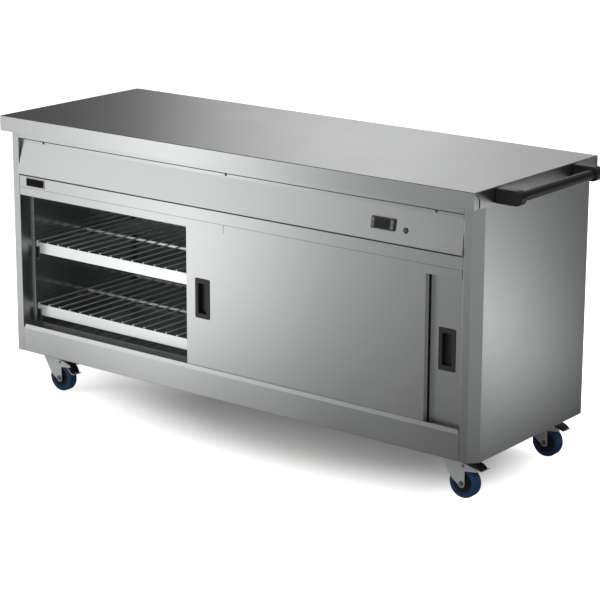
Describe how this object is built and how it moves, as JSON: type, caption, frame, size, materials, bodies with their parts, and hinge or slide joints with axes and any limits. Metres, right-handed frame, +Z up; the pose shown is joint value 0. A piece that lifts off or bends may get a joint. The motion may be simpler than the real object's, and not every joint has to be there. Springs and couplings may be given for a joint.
{
  "type": "hostess trolley",
  "caption": "Stainless mobile hot cupboard with a plain worktop, sliding doors over wire shelves, a sloping control panel, a push handle and swivel castors with brake pedals.",
  "frame": {"origin": "on the floor, under the middle of the whole trolley with its push handle", "axes": "+X to the right along the front, towards the push handle; +Y to the rear; +Z up"},
  "size_m": [1.849, 0.635, 0.9],
  "materials": {
    "stainless": "satin grained stainless sheet",
    "inner_stainless": "plain stainless sheet, in shade",
    "track_aluminium": "extruded, mill finish",
    "shelf_wire": "bright plated wire",
    "zinc_steel": "bright zinc plated pressing",
    "blue_tyre": "dark blue elastic rubber",
    "hub_plastic": "black moulded",
    "pedal_plastic": "black moulded pad on a steel lever",
    "handle_plastic": "black textured moulding",
    "pull_plastic": "dark grey moulded",
    "controller_plastic": "grey moulded",
    "window_plastic": "dark display window",
    "key_plastic": "grey moulded",
    "lamp_lens": "dark green lens, unlit",
    "gland_plastic": "black moulded",
    "nylon": "natural nylon"
  },
  "bodies": {
    "cabinet": {"worktop": "stainless", "end_panel_left": "stainless", "end_panel_right": "stainless", "back_panel": "stainless", "base_pan": "stainless", "header_rail": "stainless", "fascia": "stainless", "fascia_screws": "inner_stainless", "top_rail": "stainless", "track_covers": "stainless", "front_skirt": "stainless", "top_track": "track_aluminium", "bottom_track": "stainless", "cable_gland": "gland_plastic", "liner_ends": "inner_stainless", "liner_back": "inner_stainless", "liner_ceiling": "inner_stainless", "liner_floor": "inner_stainless", "shelf_supports": "inner_stainless", "heating_element": "inner_stainless", "controller_case": "controller_plastic", "controller_window": "window_plastic", "indicator_lamp": "lamp_lens", "handle_bracket_front": "handle_plastic", "handle_bracket_rear": "handle_plastic", "handle_tube": "handle_plastic", "castor_plates": "zinc_steel"},
    "door_outer": {"door_outer_panel": "stainless", "door_outer_pull": "pull_plastic"},
    "door_inner": {"door_inner_panel": "stainless", "door_inner_pull": "pull_plastic"},
    "roller_outer_left": {"roller_outer_left": "nylon"},
    "roller_outer_right": {"roller_outer_right": "nylon"},
    "roller_inner_left": {"roller_inner_left": "nylon"},
    "roller_inner_right": {"roller_inner_right": "nylon"},
    "shelf_lower_left": {"shelf_lower_left": "shelf_wire"},
    "shelf_lower_right": {"shelf_lower_right": "shelf_wire"},
    "shelf_upper_left": {"shelf_upper_left": "shelf_wire"},
    "shelf_upper_right": {"shelf_upper_right": "shelf_wire"},
    "key_left_lower": {"key_left_lower": "key_plastic"},
    "key_left_upper": {"key_left_upper": "key_plastic"},
    "key_right_lower": {"key_right_lower": "key_plastic"},
    "key_right_upper": {"key_right_upper": "key_plastic"},
    "castor_fork_front_left": {"castor_fork_front_left": "zinc_steel"},
    "castor_wheel_front_left": {"wheel_hub_front_left": "hub_plastic", "wheel_tyre_front_left": "blue_tyre"},
    "brake_pedal_front_left": {"brake_pedal_front_left": "pedal_plastic"},
    "castor_fork_front_right": {"castor_fork_front_right": "zinc_steel"},
    "castor_wheel_front_right": {"wheel_hub_front_right": "hub_plastic", "wheel_tyre_front_right": "blue_tyre"},
    "brake_pedal_front_right": {"brake_pedal_front_right": "pedal_plastic"},
    "castor_fork_rear_left": {"castor_fork_rear_left": "zinc_steel"},
    "castor_wheel_rear_left": {"wheel_hub_rear_left": "hub_plastic", "wheel_tyre_rear_left": "blue_tyre"},
    "brake_pedal_rear_left": {"brake_pedal_rear_left": "pedal_plastic"},
    "castor_fork_rear_right": {"castor_fork_rear_right": "zinc_steel"},
    "castor_wheel_rear_right": {"wheel_hub_rear_right": "hub_plastic", "wheel_tyre_rear_right": "blue_tyre"},
    "brake_pedal_rear_right": {"brake_pedal_rear_right": "pedal_plastic"}
  },
  "joints": [
    {"name": "door_outer_slide", "type": "slide", "parent": "cabinet", "child": "door_outer", "axis": [1, 0, 0], "range_m": [-0.682, 0.121]},
    {"name": "door_inner_slide", "type": "slide", "parent": "cabinet", "child": "door_inner", "axis": [1, 0, 0], "range_m": [-0.803, 0]},
    {"name": "roller_outer_left_spin", "type": "hinge", "parent": "door_outer", "child": "roller_outer_left", "pos_m": [-0.1005, -0.2723, 0.6903], "axis": [0, 1, 0], "continuous": true},
    {"name": "roller_outer_right_spin", "type": "hinge", "parent": "door_outer", "child": "roller_outer_right", "pos_m": [0.5775, -0.2723, 0.6903], "axis": [0, 1, 0], "continuous": true},
    {"name": "roller_inner_left_spin", "type": "hinge", "parent": "door_inner", "child": "roller_inner_left", "pos_m": [0.0205, -0.2493, 0.6903], "axis": [0, 1, 0], "continuous": true},
    {"name": "roller_inner_right_spin", "type": "hinge", "parent": "door_inner", "child": "roller_inner_right", "pos_m": [0.6985, -0.2493, 0.6903], "axis": [0, 1, 0], "continuous": true},
    {"name": "shelf_lower_left_lift", "type": "slide", "parent": "cabinet", "child": "shelf_lower_left", "axis": [0, 0, 1], "range_m": [0, 0.02]},
    {"name": "shelf_lower_right_lift", "type": "slide", "parent": "cabinet", "child": "shelf_lower_right", "axis": [0, 0, 1], "range_m": [0, 0.02]},
    {"name": "shelf_upper_left_lift", "type": "slide", "parent": "cabinet", "child": "shelf_upper_left", "axis": [0, 0, 1], "range_m": [0, 0.02]},
    {"name": "shelf_upper_right_lift", "type": "slide", "parent": "cabinet", "child": "shelf_upper_right", "axis": [0, 0, 1], "range_m": [0, 0.02]},
    {"name": "key_left_lower_press", "type": "slide", "parent": "cabinet", "child": "key_left_lower", "axis": [0, 0.9821, -0.1885], "range_m": [0, 0.0008], "stiffness_N_per_m": 400},
    {"name": "key_left_upper_press", "type": "slide", "parent": "cabinet", "child": "key_left_upper", "axis": [0, 0.9821, -0.1885], "range_m": [0, 0.0008], "stiffness_N_per_m": 400},
    {"name": "key_right_lower_press", "type": "slide", "parent": "cabinet", "child": "key_right_lower", "axis": [0, 0.9821, -0.1885], "range_m": [0, 0.0008], "stiffness_N_per_m": 400},
    {"name": "key_right_upper_press", "type": "slide", "parent": "cabinet", "child": "key_right_upper", "axis": [0, 0.9821, -0.1885], "range_m": [0, 0.0008], "stiffness_N_per_m": 400},
    {"name": "castor_fork_front_left_swivel", "type": "hinge", "parent": "cabinet", "child": "castor_fork_front_left", "pos_m": [-0.8155, -0.1965, 0.115], "axis": [0, 0, 1], "continuous": true},
    {"name": "castor_wheel_front_left_roll", "type": "hinge", "parent": "castor_fork_front_left", "child": "castor_wheel_front_left", "pos_m": [-0.7935, -0.1965, 0.045], "axis": [0, 1, 0], "continuous": true},
    {"name": "brake_pedal_front_left_press", "type": "hinge", "parent": "castor_fork_front_left", "child": "brake_pedal_front_left", "pos_m": [-0.7885, -0.1965, 0.098], "axis": [0, 1, 0], "range_deg": [-28, 0]},
    {"name": "castor_fork_front_right_swivel", "type": "hinge", "parent": "cabinet", "child": "castor_fork_front_right", "pos_m": [0.7315, -0.1965, 0.115], "axis": [0, 0, 1], "continuous": true},
    {"name": "castor_wheel_front_right_roll", "type": "hinge", "parent": "castor_fork_front_right", "child": "castor_wheel_front_right", "pos_m": [0.7535, -0.1965, 0.045], "axis": [0, 1, 0], "continuous": true},
    {"name": "brake_pedal_front_right_press", "type": "hinge", "parent": "castor_fork_front_right", "child": "brake_pedal_front_right", "pos_m": [0.7585, -0.1965, 0.098], "axis": [0, 1, 0], "range_deg": [0, 28]},
    {"name": "castor_fork_rear_left_swivel", "type": "hinge", "parent": "cabinet", "child": "castor_fork_rear_left", "pos_m": [-0.8155, 0.2395, 0.115], "axis": [0, 0, 1], "continuous": true},
    {"name": "castor_wheel_rear_left_roll", "type": "hinge", "parent": "castor_fork_rear_left", "child": "castor_wheel_rear_left", "pos_m": [-0.7935, 0.2395, 0.045], "axis": [0, 1, 0], "continuous": true},
    {"name": "brake_pedal_rear_left_press", "type": "hinge", "parent": "castor_fork_rear_left", "child": "brake_pedal_rear_left", "pos_m": [-0.7885, 0.2395, 0.098], "axis": [0, 1, 0], "range_deg": [0, 28]},
    {"name": "castor_fork_rear_right_swivel", "type": "hinge", "parent": "cabinet", "child": "castor_fork_rear_right", "pos_m": [0.7315, 0.2395, 0.115], "axis": [0, 0, 1], "continuous": true},
    {"name": "castor_wheel_rear_right_roll", "type": "hinge", "parent": "castor_fork_rear_right", "child": "castor_wheel_rear_right", "pos_m": [0.7535, 0.2395, 0.045], "axis": [0, 1, 0], "continuous": true},
    {"name": "brake_pedal_rear_right_press", "type": "hinge", "parent": "castor_fork_rear_right", "child": "brake_pedal_rear_right", "pos_m": [0.7585, 0.2395, 0.098], "axis": [0, 1, 0], "range_deg": [0, 28]}
  ],
  "couplings": [
    {"joint": "roller_outer_left_spin", "follows": "door_outer_slide", "rad_per_m": 90.909},
    {"joint": "roller_outer_right_spin", "follows": "door_outer_slide", "rad_per_m": 90.909},
    {"joint": "roller_inner_left_spin", "follows": "door_inner_slide", "rad_per_m": 90.909},
    {"joint": "roller_inner_right_spin", "follows": "door_inner_slide", "rad_per_m": 90.909}
  ]
}
